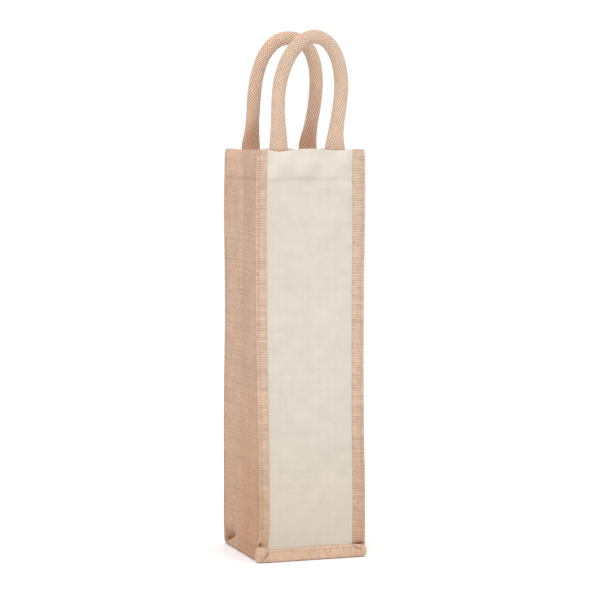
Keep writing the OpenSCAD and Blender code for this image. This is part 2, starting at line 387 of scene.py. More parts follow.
def strand(g, own, other, own_wave, other_wave, offset):
    """Height and tone of the strands of one family, which the other family crosses."""
    grain = g.noise(g.vector(own * 5.0, other * 0.9, offset), 1.0, 3.0)
    tone = g.random(math.floor(own) + offset) * 0.35 + grain
    return abs(own_wave) * (abs(other_wave) * 0.5 + 0.5), tone


def braided(name, colour, gap_colour, warm_tone_and_shade_colour):
    """Strands that pass over and under each other slantwise. The mesh attribute "cloth" counts
    the strands of both families and gives the piece's own number; the other attribute is as for
    cloth, with painted shade towards the feet as its warmer tone and the gap colour as its
    painted crease shade."""
    g = Graph(name)
    p, q, piece = g.split("cloth")
    painted_crease_shade, warm_tone_and_shade, light = g.split("tone_and_painted_shading")
    wave_p, wave_q = g.wave(p), g.wave(q)
    over = g.ramp(wave_p * wave_q, -0.1, 0.1)
    height_q, tone_q = strand(g, q, p, wave_q, wave_p, 3.0)
    height_p, tone_p = strand(g, p, q, wave_p, wave_q, 70.0)
    height = g.between(height_q, height_p, over)
    cloud = g.noise(g.vector(p, q, piece), 0.22)
    cell = g.random(math.floor(p) * 31.0 + math.floor(q))
    tone = cloud * 0.5 + (cell * 0.4 + g.between(tone_q, tone_p, over))
    # Painted shade: the warmer tone towards the feet, then the painted light and shade, then the
    # painted crease shade in the gap colour.
    body = g.mix(warm_tone_and_shade, colour, warm_tone_and_shade_colour)
    face = g.mix(g.rest(g.ramp(height, 0.0, 0.8)), body, gap_colour)
    face = g.shaded(face, cloth_shade(tone, 1.12, 0.26, light))
    face = g.mix(painted_crease_shade, face, gap_colour)
    g.finish(face, height * -0.15 + 0.95, height, 0.2, 0.12)
    return g.material


def twisted(name, colour, dark, pitch, relief, warm_tone_and_shade_colour):
    """Spun thread or rope: a ply line runs slantwise round it."""
    g = Graph(name)
    across, along, piece = g.split("cloth")
    ply = abs(g.wave((across + along) / pitch))
    fuzz = g.noise(g.vector(across, along, piece), 2.2, 3.0)
    body = g.mix(g.split("tone_and_painted_shading")[1], colour, warm_tone_and_shade_colour)
    face = g.shaded(g.mix(g.ramp(ply, 0.0, 0.6), dark, body), fuzz * 0.24 + 0.88)
    g.finish(face, fuzz * 0.2 + 0.7, ply, relief, 0.1)
    return g.material


# --- shaping tools
def smooth(value, low, high):
    """0 below low, 1 above high, with a soft start and end."""
    k = np.clip((np.asarray(value, float) - low) / (high - low), 0, 1)
    return k * k * (3 - 2 * k)


def hill(value, middle, width):
    """1 in the middle, falling off softly on both sides."""
    return np.exp(-((np.asarray(value, float) - middle) / width) ** 2)


def lumps(a, b, size, seed):
    """Soft unevenness, about -1 to 1, with lumps of roughly that size."""
    rng = np.random.default_rng(seed)
    total = np.zeros(np.broadcast(a, b).shape)
    waves = 10
    for _ in range(waves):
        angle, phase = rng.uniform(0, 2 * math.pi, 2)
        length = size * rng.uniform(1.3, 3.2)
        along = a * math.cos(angle) + b * math.sin(angle)
        total = total + np.sin(2 * math.pi * along / length + phase)
    return total / math.sqrt(waves)


def spaced(start, end, step):
    """Even steps of about that size, with both ends."""
    return np.linspace(start, end, max(int(math.ceil(abs(end - start) / step)), 1) + 1)


def joined(*runs):
    """Runs that share their ends, as one."""
    return np.concatenate([runs[0]] + [r[1:] for r in runs[1:]])


def length_along(a, b):
    """The length of a line up to each of its points."""
    return np.r_[[0], np.cumsum(np.hypot(np.diff(a), np.diff(b)))]


def curve_through(points, steps=4):
    """A smooth curve through a few points, with that many steps between two of them."""
    p = np.array(points, float)
    p = np.vstack([2 * p[0] - p[1], p, 2 * p[-1] - p[-2]])
    t = np.arange(steps)[:, None] / steps
    out = [0.5 * (2 * b + (c - a) * t + (2 * a - 5 * b + 4 * c - d) * t ** 2
                  + (3 * b - a - 3 * c + d) * t ** 3)
           for a, b, c, d in zip(p[:-3], p[1:-2], p[2:-1], p[3:])]
    return np.vstack(out + [p[-2][None]])


def turned(points, face):
    """Front points as they are, or turned half round for the back."""
    return points if face == "front" else points * np.array([-1, -1, 1])


def new_piece(name, points, faces, attributes, material, body="bag"):
    """A smooth mesh piece from points in millimetres."""
    mesh = bpy.data.meshes.new(name)
    mesh.from_pydata((points * MM).tolist(), [], faces)
    for label, values in attributes.items():
        kept = mesh.attributes.new(label, "FLOAT_VECTOR", "POINT")
        kept.data.foreach_set("vector", np.asarray(values, np.float32).ravel())
    mesh.polygons.foreach_set("use_smooth", np.ones(len(mesh.polygons), bool))
    mesh.materials.append(material)
    mesh.validate()
    piece = bpy.data.objects.new(name, mesh)
    bpy.context.scene.collection.objects.link(piece)
    if body:
        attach(piece, body)
    return piece


def unit(vectors):
    """The same directions, with a length of 1."""
    return vectors / np.maximum(np.linalg.norm(vectors, axis=-1, keepdims=True), 1e-9)


def tube_faces(rings, sides, first=0):
    """The faces round a tube of points, and those that close its ends."""
    index = first + np.arange(rings * sides).reshape(rings, sides)
    beside = np.roll(index, -1, axis=1)
    quads = np.stack([index[:-1], beside[:-1], beside[1:], index[1:]], -1).reshape(-1, 4)
    return quads, [index[0, ::-1].tolist(), index[-1].tolist()]


def cloth_piece(name, outer, thickness, cloth, tone_and_painted_shading, material, number, flip=False):
    """A sheet with two sides and rounded edges, from a grid of points on its outer side.

    cloth holds the place of each point on the flat cloth, and the grid after it holds painted
    shade in creases, a warmer tone that is mostly painted shade towards the base, and painted
    light and shade.
    """
    rows, cols, _ = outer.shape
    normal = unit(np.cross(np.gradient(outer, axis=1), np.gradient(outer, axis=0)))
    thickness = np.broadcast_to(np.asarray(thickness, float), (rows, cols))[..., None]
    inner = outer - normal * (-1 if flip else 1) * thickness
    index = np.arange(rows * cols).reshape(rows, cols)
    quads = np.stack([index[:-1, :-1], index[:-1, 1:], index[1:, 1:], index[1:, :-1]], -1)
    quads = quads.reshape(-1, 4)
    edge = np.r_[index[0], index[1:, -1], index[-1, -2::-1], index[-2:0:-1, 0]]
    er, ec = np.divmod(edge, cols)
    within = outer[np.clip(er, 1, rows - 2), np.clip(ec, 1, cols - 2)]
    bulge = unit(outer[er, ec] - within) * thickness[er, ec] * 0.4
    middle = (outer[er, ec] + inner[er, ec]) / 2 + bulge
    points = np.vstack([outer.reshape(-1, 3), inner.reshape(-1, 3), middle])
    n = rows * cols
    mid = 2 * n + np.arange(len(edge))
    bands = [np.stack([a, b, np.roll(b, -1), np.roll(a, -1)], -1)
             for a, b in ((edge, mid), (mid, edge + n))]
    faces = np.vstack([quads, quads[:, ::-1] + n] + bands)
    if flip:
        faces = faces[:, ::-1]
    attributes = {"cloth": layers(cloth[..., 0], cloth[..., 1], number), "tone_and_painted_shading": tone_and_painted_shading}
    for label, values in attributes.items():
        values = values.reshape(-1, 3)
        attributes[label] = np.vstack([values, values, values[edge]])
    return new_piece(name, points, faces.tolist(), attributes, material)


def layers(*values):
    """Arrays of matching shapes laid behind each other, as one grid with a value of each."""
    return np.stack(np.broadcast_arrays(*values), -1)


# --- the bag's soft shape
def face_out(x, z, face):
    """How far a face swells outwards at a place seen from its outside. Nothing at the corners."""
    seed = 11 if face == "front" else 23
    span = np.clip(1 - (np.abs(x) / 47.5) ** 3, 0, 1)
    rise = smooth(z, 6, 70)
    swell = 1.3 * span * rise * (1 - 0.75 * smooth(z, 250, 352))
    uneven = 0.55 * lumps(x, z, 34, seed) + 0.2 * lumps(x, z * 0.8, 13, seed + 1)
    uneven = uneven * (1 + 0.6 * smooth(z, 325, 345))
    line = 0.4 * (1 + 0.5 * lumps(x, 0 * z, 7, seed + 2)) * hill(z, STITCH_Z, 1.8)
    hem = 0.28 * smooth(z, STITCH_Z - 1, STITCH_Z + 3) - line
    pulls = sum(
        0.42 * hill(x, foot + side * 9.5, 2.4) * smooth(z, 290, 345)
        - 0.3 * hill(x, foot, 5) * smooth(z, 300, 340)
        for foot in FEET[face] for side in (-1, 1))
    return swell + span * (uneven * rise + hem + pulls)


def mouth_drop(x, z, face):
    """How far the mouth's edge is pulled down at the handles."""
    left, right = FEET[face]
    dip = 2.3 * hill(x, left, 10) + 1.3 * hill(x, right, 12) - 0.3 * hill(x, 0, 10)
    return dip * smooth(z, 318, 358)


def corner_tuck(x, z):
    """The dent in a border just above the bottom strip's corner, 0 to 1."""
    right = hill(x, 43.8, 4.8) * hill(z, 11.6, 2.2)
    left = hill(x, -47.6, 1.9) * hill(z, 15.9, 1.8) + 0.45 * hill(x, -44.5, 3.5) * hill(z, 14.8, 2.4)
    return right + 0.9 * left


BOW_CURVES = {place: curve_through(list(zip(BOW_HEIGHTS, bow)), 6) for place, bow in BOWS.items()}


def corner_bow(z, face, x):
    """How far a corner seam bows outwards at a height, for places seen from the face's outside."""
    left, right = (np.interp(z, *BOW_CURVES[face, side].T) for side in ("left", "right"))
    return np.where(np.asarray(x) < 0, left, right)


def on_face(x, depth, z, face):
    """Points of a face, from places seen from its outside, on the softly shaped bag."""
    y = -HALF_D + depth - face_out(x, z, face) + 1.7 * corner_tuck(x, z)
    bowed = x + np.sign(x) * corner_bow(z, face, x) * smooth(np.abs(x), 20, 49)
    return turned(layers(bowed, y, z - mouth_drop(x, z, face)), face)


def base_fold(y, z):
    """The slanting fold from a bottom corner up to the middle of a side, 0 to 1."""
    line = 1.8 + 17 * (1 - np.abs(y) / HALF_D)
    above = z - line
    return smooth(above, -1.4, 1.2) * np.exp(-np.clip(above, 0, None) / 8.5)


def bow_of_side(y, z, side):
    """The same bow for places on a side: a side's front corner belongs to the front."""
    front = corner_bow(z, "front", side + 0 * y)
    back = corner_bow(z, "back", -side + 0 * y)
    return np.where(np.asarray(y) < 0, front, back)


def side_crease(z):
    """Where the crease down the middle of a side runs."""
    return 13 + 3 * np.sin(z / 55)


def side_in(y, z, side):
    """How far a side sinks inwards. Nothing at the corner seams."""
    seed = 41 if side < 0 else 57
    span = np.clip(1 - (np.abs(y) / 47.5) ** 4, 0, 1)
    crease_y = side_crease(z)
    off = (y - crease_y) / np.where(y > crease_y, HALF_D - crease_y, HALF_D + crease_y)
    fold = 1 - np.sqrt(off ** 2 + 0.004)
    rise = smooth(z, 12, 80)
    sink = (3.0 + 3.0 * smooth(z, 180, 350)) * np.clip(fold, 0, 1) * rise
    sink = sink - bow_of_side(y, z, side) * smooth(np.abs(y), 12, 49)
    uneven = 0.34 * lumps(y, z, 30, seed) + 0.14 * lumps(y, z, 12, seed + 1)
    hem = -0.25 * smooth(z, STITCH_Z - 1, STITCH_Z + 3) + 0.45 * hill(z, STITCH_Z, 1.6)
    back_share = 1.0 if side < 0 else 0.6
    near_back = smooth(y, 12, 34) * (1 - smooth(y, 43, 48.5)) * back_share
    near_front = smooth(-y, 20, 38) * (1 - smooth(-y, 43, 48.5)) * 0.35
    pocket = 4.0 * (near_back + near_front) * base_fold(y, z)
    return sink + span * (uneven * smooth(z, 4, 40) + hem * rise) + pocket


def double_cloth_and_painted_light(z, turn):
    """How much denser and lighter the hem's double cloth is, with painted light that makes it
    lighter still towards the mouth.
    """
    doubled = smooth(z, STITCH_Z - 2, STITCH_Z + 2)
    return doubled * (0.2 + 0.4 * smooth(z, STITCH_Z, BAG_H)) * (1 - turn)


def painted_base_shade(z):
    """Painted shade: the cloth warmer and darker towards the base."""
    return 1 - smooth(z, -60, 235)


def hem_path(start, fold, change, steps):
    """A leaf from a height up, over a round fold at the mouth and down inside, as depth, height,
    the inward direction, how far it has turned (0 outside, 1 inside) and its length, each one
    column. The steps are the spacing of its points below and above the height of change."""
    r = fold / 2
    up = joined(spaced(start, change, steps[0]), spaced(change, BAG_H - r, steps[1]))
    bend = np.linspace(0, math.pi, 11)[1:-1]
    down = spaced(BAG_H - r, HEM_BOTTOM, 1.8)
    angle = np.r_[0 * up, bend, 0 * down + math.pi]
    depth = r - r * np.cos(angle)
    z = np.r_[up, 0 * bend + BAG_H - r, down] + r * np.sin(angle)
    path = (depth, z, np.cos(angle), -np.sin(angle), angle / math.pi,
            length_along(depth, z) + start)
    return [row[:, None] for row in path]


def ridge_columns(reach):
    """The pinched corner seam as columns: distance from the middle of the face, how proud it
    is, and the distance where there is no ridge."""
    curve = curve_through(RIDGE, 3)
    flat = np.minimum(curve[:, 0], reach - 0.05)
    return curve[:, 0], curve[:, 1], flat


def ridge_length(z, bottom):
    """1 over the height of a corner ridge, 0 beyond its ends."""
    return smooth(z, bottom, bottom + 2.5) * (1 - smooth(z, BAG_H - 4.5, BAG_H - 1.5))


def narrowed(value, start, limit, turn):
    """Draws cloth in towards the middle where it turns inside the hem, so that corners clear."""
    turn = smooth(turn, 0.3, 1)
    past = np.clip(np.abs(value) - start, 0, None)
    squeeze = (limit - start) / (PINCHED_REACH - start)
    return value - np.sign(value) * past * (1 - squeeze) * turn


def border_columns(edge, width):
    """A border from its turned-under edge to the corner: distance from the middle of the face
    and depth, and that distance where the corner isn't pinched."""
    r = BORDER_T
    fold = np.linspace(math.pi, 0, 9)
    under = np.array([[4.4, 2 * r - 0.1], [2.6, 2 * r]])
    bend = np.stack([r - r * np.sin(fold), r - r * np.cos(fold)], 1)
    plain = np.stack([spaced(r + 0.7, width - (HALF_W - RIDGE_FROM) - 0.7, 1.0)] * 2, 1) * [1, 0]
    leaf = np.r_[under, bend, plain]
    far, proud, flat = ridge_columns(HALF_W)
    place = np.r_[edge + leaf[:, 0], far]
    inset = np.r_[leaf[:, 1], -proud]
    return place, inset, np.r_[place[:-len(flat)], flat]


def border_painted_shading(x, z, turn, side, edge):
    """Painted light and shade of a border, seen from its face's outside: painted shade in the
    dent above the bottom corner, in the corner groove and towards the base, the left border
    darker in its upper part, the hem lighter, and painted light along the turned-under edge.
    """
    tuck = np.clip(corner_tuck(x, z) * 0.85, 0, 0.85) * (1 - turn)
    groove = 0.06 * hill(np.abs(x), GROOVE, 0.6) + 0.12 * hill(x, 44, 6) * hill(z, 14, 12)
    light = 0.3 * double_cloth_and_painted_light(z, turn) - 0.45 * (side == "left") * smooth(z, 240, 340)
    light = light + 0.7 * np.exp(-np.clip(np.abs(x) - edge, 0, None) / 0.9)
    return layers(np.clip(tuck + groove, 0, 0.9), painted_base_shade(z) ** 1.5, light)


def border(face, side, material, number):
    """A jute border: turned under at the canvas, pinched at the corner, turned in at the mouth."""
    sign = -1 if side == "left" else 1
    edge = abs(WINDOW_LEFT if side == "left" else WINDOW_RIGHT)
    width = HALF_W - edge
    place, inset, unpinched = border_columns(edge, width)
    depth, z, in_d, in_z, turn, length = hem_path(0.4, JUTE_FOLD, 24, (0.8, 1.9))
    pinch = ridge_length(z, RIDGE_BOTTOM[face, side]) * (turn == 0)
    x = unpinched + (place - unpinched) * pinch
    inset_here = np.where(inset < 0, inset * pinch, inset + 0 * z) * (1 - 0.35 * turn)
    x = narrowed(sign * x, 43.5, 45.2, turn)
    zz = z + inset_here * in_z
    points = on_face(x, depth + inset_here * in_d, zz, face)
    cloth = layers(length_along(place, inset), length)
    thin = np.where(place > EDGE_FROM, EDGE_T, BORDER_T) + 0 * z
    name = f"{face}_{side}_border"
    piece = cloth_piece(name + "_cloth", points, thin, cloth, border_painted_shading(x, zz, turn, side, edge),
                        material, number, flip=sign > 0)
    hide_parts(name)
    return piece


def painted_crumple_shading(x, z, face):
    """Painted light and shade of soft crumples on the canvas, most of them in the hem and at the
    base, and painted shade along the stitch line.
    """
    seed = 5 if face == "front" else 7
    ends = 0.1 + 0.3 * smooth(z, 315, 345) + 0.14 * (1 - smooth(z, 10, 40))
    stitched = 0.35 * np.clip(0.3 + lumps(x, 0 * z, 9, seed + 2), 0, 1) * hill(z, STITCH_Z - 1, 3)
    return ends * lumps(x, z, 17, seed) + 0.07 * lumps(x, z, 7, seed + 1) - stitched


def window_depth(x):
    """Depth of the canvas: it lies back under the borders on both sides."""
    near = 1 - smooth(x, WINDOW_LEFT - 0.4, WINDOW_LEFT + 2.6)
    far = smooth(x, WINDOW_RIGHT - 2.6, WINDOW_RIGHT + 0.4)
    return 1.15 * (near + far)


def canvas_tone_and_painted_shading(x, z, turn, face, seed):
    """Painted light and shade of a canvas, seen from its face's outside: painted shade along the
    stitch line and towards the base, the hem lighter, painted crumples, and painted light
    beside both borders. It is also warmer beside the left border."""
    line = 0.08 * (1 + 0.6 * lumps(x, 0 * z, 6, seed)) * hill(z, STITCH_Z, 1.2) * (1 - turn)
    left = np.exp(-np.clip(x - WINDOW_LEFT, 0, None) / 2.6)
    right = np.exp(-np.clip(WINDOW_RIGHT - x, 0, None) / 1.1)
    light = double_cloth_and_painted_light(z, turn) + painted_crumple_shading(x, z, face) + 0.7 * (left ** 2 + 0.2 * left + 1.4 * right)
    return layers(np.clip(line, 0, 1), np.minimum(painted_base_shade(z) ** 1.5 + left, 1), light)


def canvas(face, material, number):
    """The canvas window, hemmed at the mouth, its edges behind the borders."""
    x = joined(spaced(CANVAS_LEFT, WINDOW_LEFT + 4, 0.8),
               spaced(WINDOW_LEFT + 4, WINDOW_RIGHT - 4, 1.4),
               spaced(WINDOW_RIGHT - 4, CANVAS_RIGHT, 0.8))
    fold = CANVAS_INSIDE - CANVAS_DEPTH
    depth, z, in_d, in_z, turn, length = hem_path(1.5, fold, 300, (2.2, 1.2))
    inset = window_depth(x)
    zz = z + inset * in_z
    points = on_face(x, CANVAS_DEPTH + depth + inset * in_d, zz, face)
    name = f"{face}_canvas"
    piece = cloth_piece(name + "_cloth", points, CANVAS_T, layers(x, length),
                        canvas_tone_and_painted_shading(x, zz, turn, face, number), material, number, flip=True)
    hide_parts(name)
    return piece


def gusset_line():
    """The side's strip from one mouth under the base to the other, as columns: its side (-1 or
    1), distance from the middle, height, how far it is turned in, how upright it stands and
    its length from the middle."""
    path = hem_path(BASE_BEND, JUTE_FOLD, 26, (0.8, 2.0))
    depth, z, _, _, turn, _ = (column[:, 0] for column in path)
    angle = np.linspace(0, math.pi / 2, 7)[1:-1]
    base = spaced(0, HALF_W - BASE_BEND, 2.4)
    bend_reach = HALF_W - BASE_BEND + BASE_BEND * np.sin(angle)
    reach = np.r_[base, bend_reach, HALF_W - depth]
    high = np.r_[0 * base, BASE_BEND - BASE_BEND * np.cos(angle), z]
    turned_in = np.r_[0 * base, 0 * angle, turn]
    upright = np.r_[0 * base, np.sin(angle) ** 2, 0 * z + 1]
    run = length_along(reach, high)
    count = len(reach)
    order = np.r_[np.arange(count - 1, 0, -1), np.arange(count)]
    side = np.r_[-np.ones(count - 1), np.ones(count)]
    half = (reach[order], high[order], turned_in[order], upright[order], run[order])
    return [column[:, None] for column in (side, *half)]


def gusset_painted_shading(y, high, turned_in, upright, pinch):
    """Painted light and shade of the sides: painted shade in the folds above the base's corners, in
    the corner grooves, along the stitch line and towards the base; the hem lighter; a front part
    beyond the crease painted darker and warmer, and a back part painted lighter near the mouth."""
    near_corner = smooth(y, 12, 31) * (1 - smooth(y, 44, 49)) + 0.3 * smooth(-y, 30, 40)
    fold_dark = 1.05 * near_corner * base_fold(y, high) * smooth(high, 1.5, 4) * upright
    fold_dark = fold_dark * smooth(14 - high, -17, 5)
    groove = 0.12 * hill(np.abs(y), GROOVE, 0.6) * pinch
    line = 0.08 * hill(high, STITCH_Z, 1.0) * (1 - turned_in)
    soft = 10 + 26 * (1 - smooth(high, 60, 300))
    fore = smooth(side_crease(high) - y, -0.35 * soft, 0.65 * soft)
    light = double_cloth_and_painted_light(high, turned_in) - fore * (0.3 + 0.55 * smooth(high, 120, 350))
    light = light + 0.4 * (1 - fore) * smooth(high, 200, 345)
    warm_tone_and_shade = painted_base_shade(high) * (0.6 + 0.4 * fore) + 0.25 * fore
    return layers(np.clip(fold_dark + groove + line, 0, 0.95), warm_tone_and_shade, light)


def gusset(material, number):
    """One strip of jute: down the left side, under the base and up the right side."""
    side, reach, high, turned_in, upright, run = gusset_line()
    far, proud, flat = ridge_columns(HALF_D)
    middle = spaced(-RIDGE_FROM, RIDGE_FROM, 1.7)
    place = joined(-far[::-1], middle, far)
    plain = joined(-flat[::-1], middle, flat)
    stand = joined(proud[::-1], 0 * middle, proud)
    front_from = np.where(side < 0, RIDGE_BOTTOM["front", "left"], RIDGE_BOTTOM["front", "right"])
    ridge_from = np.where(place < 0, front_from, RIDGE_BOTTOM["back", "left"])
    pinch = ridge_length(high, ridge_from) * (turned_in == 0)
    y = narrowed(plain + (place - plain) * pinch, 44.8, 46.9, turned_in)
    sink = np.where(side < 0, side_in(y, high, -1), side_in(y, high, 1)) * upright
    crown = (1 - (y / HALF_D) ** 2) * np.clip(1 - (reach / HALF_W) ** 2, 0, 1)
    lift = (1 - upright) * 0.7 * crown
    points = layers(side * (reach - sink + stand * pinch), y, high + lift)
    tone_and_painted_shading = gusset_painted_shading(y, high, turned_in, upright, pinch)
    thin = np.where(np.abs(place) > EDGE_FROM, EDGE_T, JUTE_T) + 0 * reach
    piece = cloth_piece("side_and_base_cloth", points, thin, layers(y, side * run), tone_and_painted_shading,
                        material, number)
    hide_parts("gusset_and_base")
    return piece


# --- the strip round the bottom
RIM_COLUMNS = 12, 7, 22  # columns of the strip's cloth behind, in its fold and in front
RIM_LEAF = 10.5  # length of each leaf of the strip
RIM_BEND = 1.0  # radius of the corner that the strip laps round
RIM_FOOT = 0.9  # height of the strip's lower edge
# How far the strip runs past each corner, how much its ends stand out, and how lumpy they are
RIM_PAST = {"front": 3.6, "back": -1.5}
RIM_WRAP = {"front": 1.0, "back": 0.3}
RIM_LOBES = {"front": 1.0, "back": 0.4}


def rim_top(s):
    """Height of the bottom strip's upper edge at a place along it."""
    wave = 0.35 * np.sin(s / 13) - 0.3 * hill(s, -34, 5) + 0.35 * hill(s, 5, 16)
    left = 2.4 * (1 - smooth(s, -43.5, -40.6)) - 3.5 * (1 - smooth(s, -55.5, -50))
    right = 0.3 * smooth(s, 36.5, 39.5) - 1.6 * smooth(s, 44, 53)
    return RIM_H - 0.4 + wave + left + right


def crease_line(s, z, start, end, width):
    """1 on a straight crease from start to end, falling to 0 beside it."""
    a = np.array(start, float)
    d = np.array(end, float) - a
    t = np.clip(((s - a[0]) * d[0] + (z - a[1]) * d[1]) / (d @ d), 0, 1)
    away = np.hypot(s - a[0] - t * d[0], z - a[1] - t * d[1])
    strength = 0.35 + 0.65 * np.sin(math.pi * np.clip(t, 0.02, 0.98)) ** 0.5
    return np.exp(-(away / width) ** 2) * strength


def rim_creases(s, z):
    """Folds of the strip at its two corners, 0 to 1."""
    left = crease_line(s, z, (-39.6, 8.6), (-45.8, 1.6), 0.55)
    right = 0.8 * crease_line(s, z, (38.0, 10.4), (45.6, 6.2), 0.6)
    right_down = 0.7 * crease_line(s, z, (45.6, 9.6), (46.2, 4.4), 0.7)
    return np.maximum(np.maximum(left, right), right_down)


def rim_swell(s, z, lobes):
    """How far the strip's outer leaf stands proud of its flat place."""
    height = np.clip(z / RIM_H, 0, 1.3)
    belly = 0.35 * np.sin(math.pi * np.clip(height, 0, 1))
    left = 0.45 * hill(s, -46, 4.2) * hill(z, 7.5, 5.5)
    right = 0.8 * hill(s, 49.5, 3.6) * hill(z, 4.4, 4.0) + 0.35 * hill(s, 42, 3) * hill(z, 5, 3.5)
    uneven = 0.22 * lumps(s, z * 2, 16, 71) + 0.12 * lumps(s, z * 2, 6, 72)
    return belly + lobes * (left + right) + uneven - 0.95 * rim_creases(s, z)


def rim_section():
    """The strip's one turn of cloth, up behind, over the fold and down in front, as the share
    of its height, how many fold radii in front, how many up in the fold, and its length."""
    behind, bend, ahead = RIM_COLUMNS
    fold = np.linspace(0, math.pi, bend + 2)[1:-1]
    share = np.r_[np.linspace(0, 1, behind), np.ones(bend), np.linspace(1, 0, ahead)]
    part = np.r_[np.zeros(behind), 1 - np.cos(fold), np.full(ahead, 2.0)]
    lift = np.r_[np.zeros(behind), np.sin(fold), np.zeros(ahead)]
    run = np.r_[np.linspace(0, RIM_LEAF, behind), RIM_LEAF + np.linspace(0.3, 2.8, bend),
                RIM_LEAF + 3.0 + np.linspace(0, RIM_LEAF, ahead)]
    return share, part, lift, run


def rim_wrapped(s, out, straight):
    """x and y of places along the strip, lapped round the corners."""
    bend = np.clip((np.abs(s) - straight) / RIM_CORNER, 0, math.pi / 2)
    past = np.clip(np.abs(s) - straight - RIM_CORNER * math.pi / 2, 0, None)
    flat = np.clip(np.abs(s), 0, straight)
    x = np.sign(s) * (flat + (RIM_BEND + out) * np.sin(bend))
    y = -(HALF_D - RIM_BEND) - (RIM_BEND + out) * np.cos(bend) + past
    return x, y


def rim(face, material, number):
    """The folded strip along the bottom, lapped round both corners."""
    straight = HALF_W - RIM_BEND
    end = straight + RIM_CORNER * math.pi / 2 + RIM_PAST[face]
    s = joined(spaced(-end, -36, 0.55), spaced(-36, 34, 1.0), spaced(34, end, 0.55))[:, None]
    r = RIM_PROUD / 2 - 0.05
    top = rim_top(s)
    share, part, lift, run = rim_section()
    z = RIM_FOOT + (top - r - RIM_FOOT) * share + r * lift
    under = smooth(2.6 - z, 0, 2.2) * (part == 2)
    free = smooth(share + (part < 2), 0.0, 0.25)
    swell = rim_swell(s, z, RIM_LOBES[face]) * free * (part / 2) ** 2
    out = r * part + 0.05 + swell - 0.7 * under ** 2
    z = z - 0.8 * under
    out = out * (1 - (1 - RIM_WRAP[face]) * smooth(np.abs(s), 40, 48))
    fade = 1 - smooth(np.abs(s), end - 3, end)
    out = out * (0.15 + 0.85 * fade) - 0.5 * (1 - fade)
    x, y = rim_wrapped(s, out, straight)
    # Painted shade in the strip's corner creases and in the slot at its upper edge.
    slot = 0.5 * hill(s, -34, 4.5) * hill(z, top, 0.9)
    dark = np.clip(0.75 * rim_creases(s, z) + slot, 0, 0.85) * (part == 2)
    # The strip is lighter all along, but not at its left end.
    light = 1.05 - 0.95 * (1 - smooth(s, -42, -39))
    name = f"{face}_bottom_border"
    piece = cloth_piece(name + "_cloth", turned(layers(x, y, z), face), RIM_T, layers(run, s),
                        layers(dark, 0.15, light), material, number)
    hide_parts(name)
    return piece


# --- handles
def resampled(line, step):
    """The same line with even steps, and the length up to each point."""
    length = length_along(line[:, 0], line[:, 1])
    at = spaced(0, length[-1], step)
    return np.stack([np.interp(at, length, line[:, i]) for i in range(2)], 1), at


def handle_line(face, bottom, step):
    """Centre line of a handle as x and z, from bottom up one leg and down the other to it."""
    loop = LOOPS[face]
    rise = loop["high"] - (HINGE_Z - BAG_H) - HANDLE_R
    share = np.linspace(0, 1, 60)
    leg_x = -(loop["gap"] + (loop["wide"] - loop["gap"]) * np.sin(math.pi / 2 * share) ** 2) / 2
    t = np.linspace(0, math.pi, 200)[1:-1]
    arch_x = -loop["wide"] / 2 * np.sign(np.cos(t)) * np.abs(np.cos(t)) ** loop["arch"]
    arch_h = LEG_H + (rise - LEG_H) * np.sin(t) ** loop["arch"]
    h = np.r_[LEG_H * share, arch_h, LEG_H * share[::-1]]
    x = np.r_[leg_x, arch_x, -leg_x[::-1]]
    x = x + loop["sway"] * (h / rise) ** loop["lean"] * (1 - np.exp(-h / 12))
    if bottom < HINGE_Z:
        tab = np.linspace(bottom - HINGE_Z, 0, 30)[:-1]
        x = np.r_[0 * tab - loop["gap"] / 2, x, 0 * tab + loop["gap"] / 2]
        h = np.r_[tab, h, tab[::-1]]
    else:
        keep = h >= bottom - HINGE_Z
        x, h = x[keep], h[keep]
    middle = sum(FEET[face]) / 2
    return resampled(np.stack([x + middle, h + HINGE_Z], 1), step)


def loop_tube(name, face, line, wide, thick, cloth, tone_and_painted_shading, turn, material, body):
    """A closed tube round a handle's line. wide and thick are its radii at each ring and side,
    and turn is what the cloth's place grows by in one turn round it."""
    rings, sides = wide.shape
    way = unit(np.gradient(line, axis=0))
    phi = np.linspace(0, 2 * math.pi, sides, endpoint=False)[None]
    a, b = wide * np.cos(phi), thick * np.sin(phi)
    points = layers(line[:, 0:1] + way[:, 1:2] * a, LEG_Y + b, line[:, 1:2] - way[:, 0:1] * a)
    quads, caps = tube_faces(rings, sides)
    piece = new_piece(name, turned(points.reshape(-1, 3), face), quads.tolist() + caps,
                      {"tone_and_painted_shading": tone_and_painted_shading}, material, body)
    # The cloth's place belongs to the corners of faces, so that it runs on across the seam
    places = cloth.reshape(-1, 3)
    corner_cloth = places[quads]
    corner_cloth[quads[:, 1] % sides == 0, 1:3] += turn
    corner_cloth = np.vstack([corner_cloth.reshape(-1, 3)] + [places[cap] for cap in caps])
    kept = piece.data.attributes.new("cloth", "FLOAT_VECTOR", "CORNER")
    kept.data.foreach_set("vector", corner_cloth.astype(np.float32).ravel())
    return piece


def sleeve_radii(face, at, ends, height, number):
    """Half widths and half thicknesses of a sleeve, and how round it is, 0 to 1. It is flat
    behind the hem, flares where it leaves it and is round above it."""
    k = smooth(np.where(ends > 75, LEG_H, height), 0, 27)
    wide = (TAB_W - 0.6) / 2 * (1 - k) + HANDLE_R * k
    wide = wide * (1 + 0.02 * lumps(at, 0 * at, 22, number))
    thick = SLEEVE_HALF_T * (1 - k) + HANDLE_R * k
    thick = thick * (1 + 0.02 * lumps(at, 0 * at, 18, number + 1))
    thick = thick * np.sqrt(np.clip(ends / 2.0, 0.03, 1))
    flare = np.where(at < at[-1] / 2, *LOOPS[face]["flares"])
    return wide + flare * hill(height, 0, 6), thick, k


